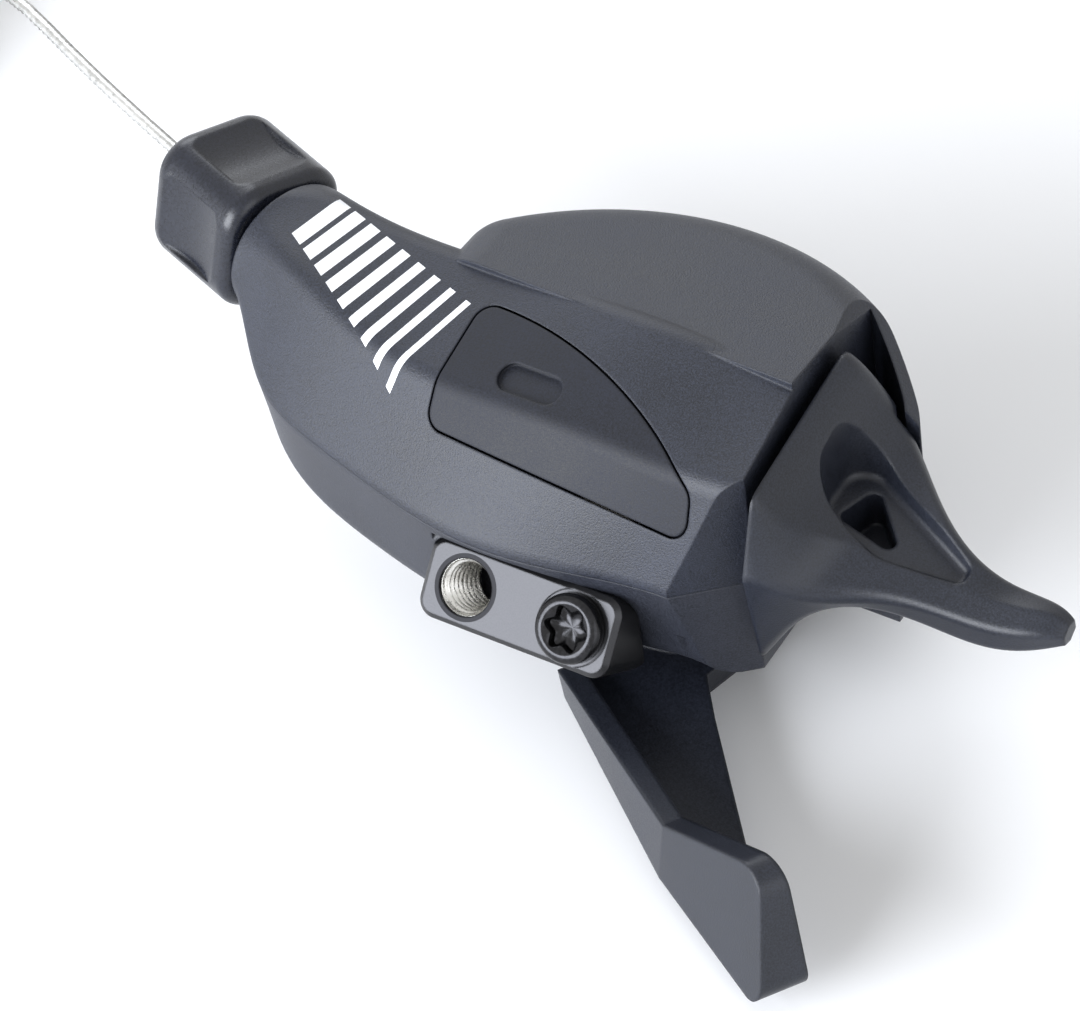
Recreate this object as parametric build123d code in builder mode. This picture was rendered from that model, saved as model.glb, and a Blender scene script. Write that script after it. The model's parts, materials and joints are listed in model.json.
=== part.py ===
from build123d import *
import math
import os

os.makedirs("parts", exist_ok=True)

# Handlebar interface: the clamp hole's mouth is the origin and the bar runs along X
pad_length = 18.6
pad_width = 7.2
pad_tilt = 40.0
pad_corner_r = 1.6
pad_edge = 0.45
hole_edge = 4.1
hole_spacing = 10.5
clamp_thread_r = 2.5
clamp_relief_r = 2.7
clamp_relief_depth = 8.0
bracket_seat_y = 4.2
bracket_block = 2.8
bolt_r = 2.0
bolt_head_r = 3.05
bolt_head_height = 1.6
bolt_seat_depth = 0.1
bolt_length = 8.6
bolt_socket_r = 1.6
bolt_socket_depth = 1.2
bolt_head_round = 1.0

# Main pivot, cable line and levels
pivot_x = 11.8
pivot_y = 16.7
cable_toe = 20.7
cable_lay_r = 10.0
cable_r = 0.6
cable_z = 8.0
parting_z = 4.0
base_bottom_z = -7.0
wall = 1.6
floor = 2.0
run_gap = 0.3

# Housing
neck_end_s = 41.0
neck_r = 6.3
neck_first_corner = 65.0
neck_roundness = 0.96
base_nose_s = 36.0
cavity_nose_s = 24.0
end_x = 23.9
bulge_left_x = -13.5
bulge_left_y = 27.0
bulge_front_x = 8.0
bulge_front_y = 36.0
bulge_right_x = 31.8
bulge_right_y = 24.2
bulge_back_left_y = 21.0
bulge_back_right_y = 16.0
bulge_left_r = 5.0
bulge_right_r = 7.0
bulge_top_z = 20.0
bulge_fall_forward = 7.0
bulge_fall_inboard = 5.5
bulge_edge_r = 4.5
ear_wall = 1.2
ear_end_y = 24.5
ear_fall = 50.0
ear_turn = 20.0
ear_fall_z = 18.8
ear_x = 28.0
ear_y = 21.8
release_floor = 4.0
corner_cut = 6.3
corner_y = 3.0
corner_angle = 40.0
corner_wall = 2.2
notch_width = 4.0
notch_depth = 1.2
tab_low_z = -2.0

# Cable port plug: a leaf outline on a plane that leans back with the roof
plug_lean = 36.87
plug_left_x = -6.7
plug_tip_x = 19.4
plug_low_left = 11.8
plug_low_right = 10.0
plug_tip = 13.8
plug_high = 23.2
plug_crown = (10.8, 19.5)
plug_corner_r = 1.6
plug_gap = 0.2
plug_lip = 1.2
plug_lip_thickness = 1.0
plug_recess_length = 6.4
plug_recess_width = 2.6
plug_recess_depth = 0.5
plug_recess_at = (1.6, 18.0)

# Spool and ratchet
axle_r = 2.5
axle_head_r = 4.4
axle_head_height = 1.8
axle_socket_r = 2.3
axle_socket_depth = 1.2
washer_thickness = 0.3
thrust_washer_r = 5.5
axle_top_z = 15.0
axle_boss_r = 4.2
spool_flange_r = 10.7
spool_barrel_r = 8.2
groove_width = 1.5
groove_bottom_r = 9.2
spool_top_z = 10.2
ratchet_z = -4.3
ratchet_thickness = 2.2
ratchet_tip_r = 8.8
ratchet_root_r = 7.4
click_angle = 20.0
spool_hub_r = 4.0
spool_foot = 0.1
head_angle = 335.0
head_r = 2.0
head_length = 4.4
head_at_r = 8.6
wrap_start_angle = 252.0
cable_run_start_s = 0.3
flange_thickness = 1.65
spool_recess_r = 6.3
spool_recess_z = 3.0
spool_spring_r = 5.25
spool_spring_wire_r = 0.4
spool_spring_turns = 4

# Pawls
pawl_eye_r = 2.2
pawl_pin_r = 1.2
drive_post_r = 12.0
drive_post_angle = 150.0
drive_tip_angle = 185.0
drive_stroke = 18.0
hold_post_r = 11.2
hold_post_angle = 70.0
hold_tip_angle = 105.0
pawl_tip_gap = 2.2
pawl_root_gap = 0.45
pawl_height = 1.8
pawl_lift_room = 0.9
pawl_knee_r = 9.9
pawl_knee_angle = 22.0
pawl_shoulder_angle = 5.0
hold_tail = (19.9, 24.6)
hold_tail_r = 0.9
pawl_pin_top_z = -0.6
pawl_spring_r = 1.7
pawl_spring_wire_r = 0.25
pawl_spring_turns = 3

# Levers
pull_hub_r = 8.6
pull_hub_top_z = -8.05
pull_bottom_z = -12.4
pull_web_thickness = 2.4
pull_lug_r = 2.8
pull_spring_r = 6.7
pull_spring_wire_r = 0.45
pull_spring_turns = 2
pull_spring_room = 2.4
arm_start = (5.1, 3.7)
arm_turn = -35.8
arm_sections = [
    (3.0, [(-0.2, -12.4), (2.0, -12.4), (1.5, -8.6), (-0.5, -8.6)]),
    (25.0, [(-1.3, -12.4), (1.2, -12.4), (1.5, -6.1), (-0.4, -6.1)]),
    (43.5, [(0.1, -12.4), (5.0, -12.4), (6.6, 2.9), (4.3, 2.9)]),
]
paddle_end_top = (38.0, 0.6)
paddle_end_foot = (42.2, -11.8)
paddle_corner_r = 2.6
paddle_foot_r = 1.8
web_outline = [
    (4.0, 11.0), (6.6, 3.9), (25.5, -10.0), (37.0, -17.2),
    (30.7, -7.4), (21.4, 3.7), (18.4, 7.6), (20.0, 13.0),
]
release_gap = 1.1
release_pin_r = 1.4
release_pin_top_z = 3.0
release_ear_gap = 0.7
release_spring_r = 2.2
release_spring_wire_r = 0.3
release_spring_room_r = 2.8
release_spring_top_z = -0.8
release_spring_turns = 3
release_low_z = -4.4
dish_at = (27.2, 0, 8.2)
dish_fall = 8.0
dish_draft = 10.0
dish_outline = [(0.0, 21.4), (0.0, 14.2), (6.5, 12.2), (13.8, 13.3), (13.8, 14.8)]
dish_corner_radii = [2.4, 2.4, 3.0, 0.8, 0.8]
dish_floor_r = 0.6
pocket_outline = [(30.0, 19.2), (28.4, 14.6), (35.6, 13.2)]
pocket_corner_r = 0.8
pocket_floor_z = 4.0
tang_end = (22.6, 26.4)
tang_root = (26.6, 25.0)
tang_r = 0.9
tang_window_y = 25.2
tang_window_width = 5.0
pin_fit = 0.05

# Barrel adjuster
knob_gap = 0.8
knob_length = 11.6
knob_flats = 12.4
knob_corner_r = 3.6
knob_turn = -15.0
knob_end_r = 2.0
knob_scoop_r = 11.0
knob_scoop_depth = 0.7
knob_scoop_width = 7.6
knob_lip_r = 1.2
stem_r = 3.0
stem_start_s = 29.0
stem_end_s = 48.0
stem_bore_r = 1.0
stem_fit = 0.08
ferrule_r = 2.6
ferrule_depth = 4.0
detent_outer_r = 5.5
detent_thickness = 0.5

# Screws that hold the cover down, each at a radius and an angle about the main pivot
cover_screws_at = [(21.6, 172.7), (13.8, 122.0), (15.9, 56.8)]
cover_screw_r = 1.1
cover_screw_head_r = 2.1
cover_screw_head = 1.5
cover_screw_top_z = 9.0
cover_boss_r = 2.5

# Loose cable: a straight stretch with a slight bend, then down to the bench and into a tied coil lying on it
loose_lead = 14.0
loose_length = 22.0
loose_bend = 5.0
loose_drop = 55.0
loose_bench_run = 9.0
bend_share = 0.45
coil_mean_r = 10.8
coil_bundle_r = 4.0
tie_thickness = 0.5
tie_width = 2.5

pivot = Vector(pivot_x, pivot_y, 0)
toe = math.radians(cable_toe)
along = Vector(-math.cos(toe), math.sin(toe), 0)
across = Vector(math.sin(toe), math.cos(toe), 0)
cable_tangent = pivot - across * cable_lay_r + Vector(0, 0, cable_z)
up = Vector(0, 0, 1)
knob_start_s = neck_end_s + knob_gap
knob_end_s = knob_start_s + knob_length
floor_z = base_bottom_z + floor
spool_room_r = spool_flange_r + run_gap
spool_room_top_z = spool_top_z + run_gap


def cable_plane(s, height=0):
    """Plane square to the cable line, s mm inboard of the point where the cable leaves the spool."""
    foot = cable_tangent + along * s
    return Plane(origin=(foot.X, foot.Y, height), x_dir=across, z_dir=-along)


def about_pivot(radius, angle, z=0):
    """Point at a radius and an angle in degrees about the main pivot."""
    a = math.radians(angle)
    return Vector(pivot_x + radius * math.cos(a), pivot_y + radius * math.sin(a), z)


pad_plane = Plane(
    origin=(0, 0, 0),
    x_dir=(1, 0, 0),
    z_dir=(0, -math.cos(math.radians(pad_tilt)), math.sin(math.radians(pad_tilt))),
)
pad_axis = Axis((0, 0, 0), pad_plane.z_dir)
bolt_plane = Plane(origin=(hole_spacing, 0, 0), x_dir=pad_plane.x_dir, z_dir=pad_plane.z_dir)
plug_plane = Plane(
    origin=(0, 0, 0),
    x_dir=(1, 0, 0),
    z_dir=(0, -math.sin(math.radians(plug_lean)), math.cos(math.radians(plug_lean))),
)
pad_centre_x = pad_length / 2 - hole_edge
bracket_reach = 3 * bracket_seat_y
pawl_z = ratchet_z + (ratchet_thickness - pawl_height) / 2
spool_base_z = ratchet_z - spool_foot
drive_post = about_pivot(drive_post_r, drive_post_angle)
hold_post = about_pivot(hold_post_r, hold_post_angle)
release_pivot = Vector(ear_x, ear_y, 0)
cover_screw_spots = [about_pivot(radius, angle) for radius, angle in cover_screws_at]
roof_limit_z = 2 * bulge_top_z


def rod(centre, radius, low_z, high_z):
    """Upright round bar."""
    with BuildPart() as bar:
        with BuildSketch(Plane.XY.offset(low_z)):
            with Locations((centre.X, centre.Y)):
                Circle(radius)
        extrude(amount=high_z - low_z)
    return bar.part


def ring(centre, bore_r, outer_r, low_z, high_z):
    """Upright washer."""
    with BuildPart() as washer:
        with BuildSketch(Plane.XY.offset(low_z)):
            with Locations((centre.X, centre.Y)):
                Circle(outer_r)
                Circle(bore_r, mode=Mode.SUBTRACT)
        extrude(amount=high_z - low_z)
    return washer.part


def cable_rod(radius, start_s, end_s):
    """Round bar on the cable line."""
    with BuildPart() as bar:
        with BuildSketch(cable_plane(start_s, cable_z)):
            Circle(radius)
        extrude(amount=start_s - end_s)
    return bar.part


def coil_spring(centre, mean_r, wire_r, low_z, high_z, turns):
    """Wire spring wound about an upright axis between two levels."""
    height = high_z - low_z - 2 * wire_r
    with BuildPart() as spring:
        with BuildLine() as path:
            foot = (centre.X, centre.Y, low_z + wire_r)
            Helix(pitch=height / turns, height=height, radius=mean_r, center=foot)
        with BuildSketch(Plane(origin=path.line @ 0, z_dir=path.line % 0)):
            Circle(wire_r)
        sweep(is_frenet=True)
    return spring.part


def leaf_outline(grow):
    """Outline of the cable port plug, moved outwards by grow."""
    with BuildSketch(plug_plane) as leaf:
        with BuildLine():
            crown = ThreePointArc((plug_tip_x, plug_tip), plug_crown, (plug_left_x, plug_high))
            Polyline(
                crown @ 1,
                (plug_left_x, plug_low_left),
                (plug_tip_x, plug_low_right),
                crown @ 0,
            )
        make_face()
        fillet(leaf.vertices(), plug_corner_r)
        if grow:
            offset(amount=grow, mode=Mode.REPLACE)
    return leaf.sketch


def bulge_outline(inset):
    """Plan of the round front of the housing, moved inwards by inset."""
    with BuildSketch(Plane.XY.offset(base_bottom_z)) as plan:
        with BuildLine():
            front = ThreePointArc(
                (bulge_left_x, bulge_left_y),
                (bulge_front_x, bulge_front_y),
                (bulge_right_x, bulge_right_y),
            )
            Polyline(
                front @ 1,
                (bulge_right_x, bulge_back_right_y),
                (bulge_left_x, bulge_back_left_y),
                front @ 0,
            )
        make_face()
        fillet(plan.vertices().sort_by_distance((bulge_left_x, bulge_left_y))[0], bulge_left_r)
        fillet(plan.vertices().sort_by_distance((bulge_right_x, bulge_right_y))[0], bulge_right_r)
        if inset:
            offset(amount=-inset, mode=Mode.REPLACE)
    return plan.sketch


# Fixed axle with a socket head under the pull lever
axle_low_z = pull_bottom_z - washer_thickness - pin_fit
with BuildPart() as main_axle:
    add(rod(pivot, axle_r, axle_low_z, axle_top_z))
    add(rod(pivot, axle_head_r, axle_low_z - axle_head_height, axle_low_z))
    with BuildSketch(Plane.XY.offset(axle_low_z - axle_head_height)):
        with Locations((pivot_x, pivot_y)):
            RegularPolygon(axle_socket_r, 6)
    extrude(amount=axle_socket_depth, mode=Mode.SUBTRACT)

axle_washer = ring(pivot, axle_r + pin_fit, axle_head_r, axle_low_z, axle_low_z + washer_thickness)
thrust_washer = ring(pivot, axle_r + pin_fit, thrust_washer_r, pull_hub_top_z + pin_fit, base_bottom_z)

# Cable spool: hub for the ratchet, barrel, a grooved rim for the cable and a ring-shaped well for the spring
spool_web_z = ratchet_z + ratchet_thickness + pin_fit
groove_low_z = cable_z - groove_width / 2
groove_high_z = cable_z + groove_width / 2
spool_bore_r = axle_r + pin_fit
head_spot = about_pivot(head_at_r, head_angle)
head_low_z = spool_top_z - head_length
with BuildPart() as cable_spool:
    with BuildSketch(Plane(origin=pivot, x_dir=(1, 0, 0), z_dir=(0, -1, 0))):
        with BuildLine():
            Polyline(
                (spool_bore_r, spool_base_z),
                (spool_hub_r, spool_base_z),
                (spool_hub_r, spool_web_z),
                (spool_barrel_r, spool_web_z),
                (spool_barrel_r, groove_low_z - flange_thickness),
                (spool_flange_r, groove_low_z - flange_thickness),
                (spool_flange_r, groove_low_z),
                (groove_bottom_r, groove_low_z),
                (groove_bottom_r, groove_high_z),
                (spool_flange_r, groove_high_z),
                (spool_flange_r, spool_top_z),
                (spool_recess_r, spool_top_z),
                (spool_recess_r, spool_recess_z),
                (spool_hub_r, spool_recess_z),
                (spool_hub_r, spool_top_z),
                (spool_bore_r, spool_top_z),
                close=True,
            )
        make_face()
    revolve(axis=Axis((pivot_x, pivot_y, 0), (0, 0, 1)))
    add(rod(head_spot, head_r, head_low_z, roof_limit_z), mode=Mode.SUBTRACT)

# Ratchet wheel: one steep face and one falling ramp to each click
with BuildPart() as ratchet_wheel:
    with BuildSketch(Plane.XY.offset(ratchet_z)):
        with BuildLine():
            for tooth in range(round(360 / click_angle)):
                steep = drive_tip_angle + tooth * click_angle
                ramp = ThreePointArc(
                    about_pivot(ratchet_tip_r, steep),
                    about_pivot((ratchet_tip_r + ratchet_root_r) / 2, steep + click_angle / 2),
                    about_pivot(ratchet_root_r, steep + click_angle),
                )
                Line(ramp @ 1, about_pivot(ratchet_tip_r, steep + click_angle))
        make_face()
        with Locations((pivot_x, pivot_y)):
            Circle(spool_hub_r, mode=Mode.SUBTRACT)
    extrude(amount=ratchet_thickness)

# Cable end: the wire lying in the groove, up to its barrel head in the rim
with BuildPart() as cable_end:
    with BuildLine(Plane.XY.offset(cable_z)) as wrap:
        CenterArc((pivot_x, pivot_y), cable_lay_r, wrap_start_angle, head_angle - wrap_start_angle)
    with BuildSketch(Plane(origin=wrap.line @ 0, z_dir=wrap.line % 0)):
        Circle(cable_r)
    sweep()
    add(rod(head_spot, head_r, head_low_z, spool_top_z))

spool_return_spring = coil_spring(
    pivot, spool_spring_r, spool_spring_wire_r, spool_recess_z, spool_top_z, spool_spring_turns
)


def pawl(post_r, post_angle, tip_angle):
    """Pawl whose tip drops behind a tooth, with an underside that stays clear of the tooth before it."""
    face_angle = tip_angle - pawl_tip_gap
    post = about_pivot(post_r, post_angle)
    with BuildPart() as arm:
        with BuildSketch(Plane.XY.offset(pawl_z)):
            with BuildLine():
                Polyline(
                    about_pivot(ratchet_root_r + pawl_root_gap, face_angle),
                    about_pivot(ratchet_tip_r + pawl_lift_room, face_angle),
                    about_pivot(post_r + pawl_eye_r, post_angle + pawl_shoulder_angle),
                    post,
                    about_pivot(pawl_knee_r, tip_angle - pawl_knee_angle),
                    close=True,
                )
            make_face()
            with Locations((post.X, post.Y)):
                Circle(pawl_eye_r)
                Circle(pawl_pin_r + pin_fit, mode=Mode.SUBTRACT)
        extrude(amount=pawl_height)
    return arm.part


drive_pawl = pawl(drive_post_r, drive_post_angle, drive_tip_angle)
with BuildPart() as hold_pawl:
    with BuildSketch(Plane.XY.offset(pawl_z)):
        with Locations((hold_post.X, hold_post.Y)):
            Circle(pawl_eye_r)
        with Locations(hold_tail):
            Circle(hold_tail_r)
        make_hull()
        with Locations((hold_post.X, hold_post.Y)):
            Circle(pawl_pin_r + pin_fit, mode=Mode.SUBTRACT)
    extrude(amount=pawl_height)
    add(pawl(hold_post_r, hold_post_angle, hold_tip_angle))

pawl_top_z = pawl_z + pawl_height
drive_pawl_pin = rod(drive_post, pawl_pin_r, pull_bottom_z, pawl_pin_top_z)
hold_pawl_pin = rod(hold_post, pawl_pin_r, base_bottom_z, pawl_pin_top_z)
drive_pawl_spring = coil_spring(
    drive_post, pawl_spring_r, pawl_spring_wire_r, pawl_top_z, pawl_pin_top_z, pawl_spring_turns
)
hold_pawl_spring = coil_spring(
    hold_post, pawl_spring_r, pawl_spring_wire_r, pawl_top_z, pawl_pin_top_z, pawl_spring_turns
)


arm_along = Vector(math.cos(math.radians(arm_turn)), math.sin(math.radians(arm_turn)), 0)
arm_across = Vector(-arm_along.Y, arm_along.X, 0)


def arm_plane(distance):
    """Plane square to the pull lever's arm."""
    return Plane(origin=Vector(*arm_start, 0) + arm_along * distance, x_dir=arm_across, z_dir=arm_along)


def arm_section(distance, corners):
    """One section of the lever's rear wall."""
    with BuildSketch(arm_plane(distance)) as section:
        with BuildLine():
            Polyline(*corners, close=True)
        make_face()
    return section.sketch


# Rear wall of the pull lever: it twists from upright at the root to the leaning thumb paddle
end_run = Vector(paddle_end_foot) - Vector(paddle_end_top)
paddle_end = Plane(
    origin=arm_plane(paddle_end_top[0]).origin + up * paddle_end_top[1],
    z_dir=arm_along * end_run.Y - up * end_run.X,
)
with BuildPart() as paddle:
    loft([arm_section(*row) for row in arm_sections], ruled=True)
    split(bisect_by=paddle_end)
    tip = paddle.faces().sort_by(Axis(Vector(*arm_start, 0), arm_along))[-1]
    fillet(tip.edges().sort_by(Axis.Z)[-1], paddle_corner_r)
    tip = paddle.faces().sort_by(Axis(Vector(*arm_start, 0), arm_along))[-1]
    fillet(tip.edges().sort_by(Axis.Z)[0], paddle_foot_r)

# Pull lever: hub with a spring well, flat web and the rear wall
with BuildPart() as pull_lever:
    with BuildSketch(Plane.XY.offset(pull_bottom_z)):
        with Locations((pivot_x, pivot_y)):
            Circle(pull_hub_r)
        with Locations((drive_post.X, drive_post.Y)):
            Circle(pull_lug_r)
        make_hull()
    extrude(amount=pull_hub_top_z - pull_bottom_z)
    with BuildSketch(Plane.XY.offset(pull_bottom_z)):
        with BuildLine():
            Polyline(*web_outline, close=True)
        make_face()
    extrude(amount=pull_web_thickness)
    add(paddle.part)
    add(ring(pivot, pull_spring_r - 2 * pull_spring_wire_r, pull_spring_r + 2 * pull_spring_wire_r,
             pull_hub_top_z - pull_spring_room, pull_hub_top_z), mode=Mode.SUBTRACT)
    add(rod(pivot, axle_r + pin_fit, pull_bottom_z, pull_hub_top_z), mode=Mode.SUBTRACT)
    add(rod(drive_post, pawl_pin_r, pull_bottom_z, pull_hub_top_z), mode=Mode.SUBTRACT)

pull_return_spring = coil_spring(
    pivot,
    pull_spring_r,
    pull_spring_wire_r,
    pull_hub_top_z - pull_spring_room,
    pull_hub_top_z,
    pull_spring_turns,
)

# Release lever sections from the root to the tip: top front, top rear, rear, two bottom corners, front
release_sections = [
    (
        end_x + release_gap,
        [(24.0, 18.2), (7.2, 15.8), (4.7, 8.3), (6.3, -3.5), (25.2, release_low_z), (26.6, 8.0)],
        1.6,
    ),
    (27.4, [(24.3, 15.8), (9.0, 12.0), (5.6, 7.4), (7.2, 0.6), (23.2, -3.6), (26.2, 7.2)], 1.5),
    (30.0, [(24.3, 11.4), (11.5, 9.0), (7.0, 6.2), (8.2, 3.2), (20.0, -2.5), (25.5, 5.6)], 1.4),
    (36.0, [(19.2, 9.0), (13.5, 7.6), (9.8, 6.0), (10.4, 3.4), (16.0, 2.0), (20.0, 5.0)], 1.0),
    (43.0, [(15.8, 6.9), (13.0, 6.6), (10.8, 5.4), (11.2, 2.2), (14.6, 1.6), (16.4, 4.2)], 0.9),
    (49.0, [(15.4, 6.2), (13.8, 6.6), (12.0, 5.6), (12.3, 3.6), (14.2, 3.0), (15.6, 4.4)], 0.6),
    (50.6, [(14.9, 5.6), (13.9, 5.8), (12.9, 5.2), (13.0, 4.2), (14.0, 3.9), (15.0, 4.5)], 0.2),
]


def release_section(x, corners, radius):
    """One closed section of the release lever, square to X."""
    with BuildSketch(Plane(origin=(x, 0, 0), x_dir=(0, 1, 0), z_dir=(1, 0, 0))) as section:
        with BuildLine():
            FilletPolyline(*corners, radius=radius, close=True)
        make_face()
    return section.sketch


with BuildPart() as release_room:
    with BuildSketch(Plane.XY.offset(2 * release_low_z)):
        with Locations((0, ear_end_y - release_ear_gap)):
            Rectangle(4 * bulge_right_x, 2 * bulge_front_y, align=(Align.CENTER, Align.MAX))
        add(bulge_outline(ear_wall + release_ear_gap))
    extrude(amount=2 * roof_limit_z)

# Thumb dish: a pocket with sloping walls, whose floor falls towards the tip
with BuildPart() as dish:
    with BuildSketch(Plane(origin=dish_at, z_dir=(0, 0, 1)).rotated((0, dish_fall, 0))):
        with BuildLine():
            FilletPolyline(*dish_outline, radius=dish_corner_radii, close=True)
        make_face()
    extrude(amount=bulge_top_z, taper=-dish_draft)
    fillet(dish.faces().sort_by(Axis.Z)[0].edges(), dish_floor_r)

with BuildPart() as release_lever:
    loft([release_section(*row) for row in release_sections])
    add(dish.part, mode=Mode.SUBTRACT)
    with BuildSketch(Plane.XY.offset(pocket_floor_z)):
        with BuildLine():
            FilletPolyline(*pocket_outline, radius=pocket_corner_r, close=True)
        make_face()
    extrude(amount=roof_limit_z, mode=Mode.SUBTRACT)
    add(release_room.part, mode=Mode.INTERSECT)
    with BuildSketch(Plane.XY.offset(pawl_z)):
        with Locations(tang_root, tang_end):
            Circle(tang_r)
        make_hull()
    extrude(amount=pawl_height)
    pin_bore = rod(release_pivot, release_pin_r + pin_fit, 2 * release_low_z, release_pin_top_z + pin_fit)
    add(pin_bore, mode=Mode.SUBTRACT)
    spring_room = rod(release_pivot, release_spring_room_r, 2 * release_low_z, release_spring_top_z)
    add(spring_room, mode=Mode.SUBTRACT)

release_pin = rod(release_pivot, release_pin_r, base_bottom_z, release_pin_top_z)
release_spring = coil_spring(
    release_pivot, release_spring_r, release_spring_wire_r, floor_z, release_spring_top_z, release_spring_turns
)

# Barrel adjuster: rounded square knob with a scooped grip on each flat
with BuildPart() as barrel_adjuster:
    with BuildSketch(cable_plane(knob_start_s, cable_z)):
        RectangleRounded(knob_flats, knob_flats, knob_corner_r, rotation=knob_turn)
    extrude(amount=-knob_length)
    fillet(barrel_adjuster.faces().sort_by(Axis(cable_tangent, along))[-1].edges(), knob_end_r)
    fillet(barrel_adjuster.faces().sort_by(Axis(cable_tangent, along))[0].edges(), knob_lip_r)
    middle = cable_tangent + along * (knob_start_s + knob_length / 2)
    for quarter in range(4):
        a = math.radians(knob_turn + 90 * quarter)
        outward = across * math.cos(a) + up * math.sin(a)
        hollow = middle + outward * (knob_flats / 2 + knob_scoop_r - knob_scoop_depth)
        with Locations(Plane(origin=hollow, z_dir=along.cross(outward))):
            Cylinder(knob_scoop_r, knob_scoop_width, mode=Mode.SUBTRACT)
    add(cable_rod(stem_r + stem_fit, knob_start_s, stem_end_s + run_gap), mode=Mode.SUBTRACT)
    add(cable_rod(stem_bore_r, knob_start_s, knob_end_s), mode=Mode.SUBTRACT)
    add(cable_rod(ferrule_r, knob_end_s - ferrule_depth, knob_end_s), mode=Mode.SUBTRACT)

with BuildPart() as adjuster_stem:
    add(cable_rod(stem_r, stem_start_s, stem_end_s))
    add(cable_rod(stem_bore_r, stem_start_s, stem_end_s), mode=Mode.SUBTRACT)

with BuildPart() as adjuster_detent_spring:
    add(cable_rod(detent_outer_r, neck_end_s, neck_end_s + detent_thickness))
    add(cable_rod(stem_r, neck_end_s, neck_end_s + detent_thickness), mode=Mode.SUBTRACT)

# Cable: the run through the housing, the loose stretch down to the bench, and the tied coil
gear_cable_run = cable_rod(cable_r, cable_run_start_s, knob_end_s)
bend = math.radians(loose_bend)
drop = math.radians(loose_drop)
bench_z = axle_low_z - axle_head_height
loose_fall = cable_z - bench_z - coil_bundle_r
loose_direction = along * math.cos(bend) + across * math.sin(bend)
loose_side = across * math.cos(bend) - along * math.sin(bend)
loose_start = cable_tangent + along * knob_end_s
loose_corner = loose_start + along * loose_lead
loose_brink = loose_corner + loose_direction * loose_length
loose_foot = loose_brink + loose_direction * (loose_fall / math.tan(drop)) - up * loose_fall
loose_end = loose_foot + loose_direction * loose_bench_run
loose_route = [loose_start, loose_corner, loose_brink, loose_foot, loose_end]
loose_runs = [(after - before).length for before, after in zip(loose_route, loose_route[1:])]
loose_radii = [
    bend_share * min(before, after) / math.tan(turn / 2)
    for before, after, turn in zip(loose_runs, loose_runs[1:], (bend, drop, drop))
]
coil_centre = loose_end - loose_side * coil_mean_r
coil_axis = Axis(coil_centre, (0, 0, 1))

with BuildPart() as coil_tie:
    with BuildSketch(Plane(origin=coil_centre - loose_side * coil_mean_r, z_dir=loose_direction)):
        Circle(coil_bundle_r)
        Circle(coil_bundle_r - tie_thickness, mode=Mode.SUBTRACT)
    revolve(axis=coil_axis, revolution_arc=math.degrees(tie_width / coil_mean_r))

with BuildPart() as gear_cable_coil:
    with BuildSketch(Plane(origin=loose_end, z_dir=loose_direction)):
        Circle(coil_bundle_r)
    revolve(axis=coil_axis)
    add(coil_tie.part, mode=Mode.SUBTRACT)

with BuildPart() as gear_cable_free:
    with BuildLine():
        loose_path = FilletPolyline(*loose_route, radius=loose_radii)
    with BuildSketch(Plane(origin=loose_start, z_dir=along)):
        Circle(cable_r)
    sweep()
    print("loose cable radii", loose_radii, "length", loose_path.length)
    print("volume by length", loose_path.length * math.pi * cable_r**2, "swept", gear_cable_free.part.volume)
    add(gear_cable_coil.part, mode=Mode.SUBTRACT)

# Housing sections from the outer end to the neck: crest, shoulder, rear edge, two bottom corners, front edge
corner_radii = [2.2, 2.6, 2.0, 3.0, 3.0, 3.5]
neck_step = math.radians(360 / len(corner_radii))
neck_corner_r = neck_r / math.cos(neck_step / 2)
neck_turns = [math.radians(neck_first_corner) + k * neck_step for k in range(len(corner_radii))]
neck_corners = [(neck_corner_r * math.cos(a), cable_z + neck_corner_r * math.sin(a)) for a in neck_turns]
stations = [
    (-21.0, [(16.5, 19.0), (7.0, 16.2), (3.4, 4.5), (5.5, -7.0), (22.0, -7.0), (23.0, 12.0)]),
    (-12.0, [(15.3, 19.4), (4.2, 15.9), (0.2, 4.5), (2.5, -7.0), (20.0, -7.0), (21.0, 12.0)]),
    (-2.0, [(13.7, 19.4), (1.2, 15.2), (-4.9, 4.5), (-3.0, -7.0), (17.0, -7.0), (18.5, 11.0)]),
    (10.0, [(10.9, 18.0), (-2.3, 14.4), (-9.7, 4.4), (-8.8, -7.0), (11.5, -7.0), (14.0, 9.0)]),
    (21.0, [(8.2, 16.0), (-4.6, 13.4), (-10.8, 4.2), (-10.4, -6.6), (8.5, -6.4), (11.0, 7.5)]),
    (30.0, [(5.4, 15.0), (-4.8, 13.8), (-10.8, 4.2), (-10.2, -4.8), (6.0, -3.4), (8.8, 7.5)]),
    (36.5, [(4.0, 14.7), (-4.4, 13.8), (-8.6, 5.6), (-6.6, -1.0), (5.0, -0.6), (7.8, 8.0)]),
    (neck_end_s, neck_corners),
]
neck_blend = neck_roundness * neck_r
least_corner_r = 0.4


def inset_corners(corners, inset):
    """Corners of a counter-clockwise outline with every side moved inwards by inset."""
    moved = []
    for before, here, after in zip(corners[-1:] + corners[:-1], corners, corners[1:] + corners[:1]):
        side_in = (Vector(here) - Vector(before)).normalized()
        side_out = (Vector(after) - Vector(here)).normalized()
        turn = side_in.cross(side_out).Z
        moved.append(Vector(here) + (side_out - side_in) * (inset / turn))
    return moved


def housing_section(s, corners, inset):
    """One closed section of the housing, moved inwards by inset."""
    radii = [neck_blend] * len(corners) if s == neck_end_s else corner_radii
    with BuildSketch(cable_plane(s)) as section:
        with BuildLine():
            FilletPolyline(
                *inset_corners(corners, inset),
                radius=[max(r - inset, least_corner_r) for r in radii],
                close=True,
            )
        make_face()
    return section.sketch


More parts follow.
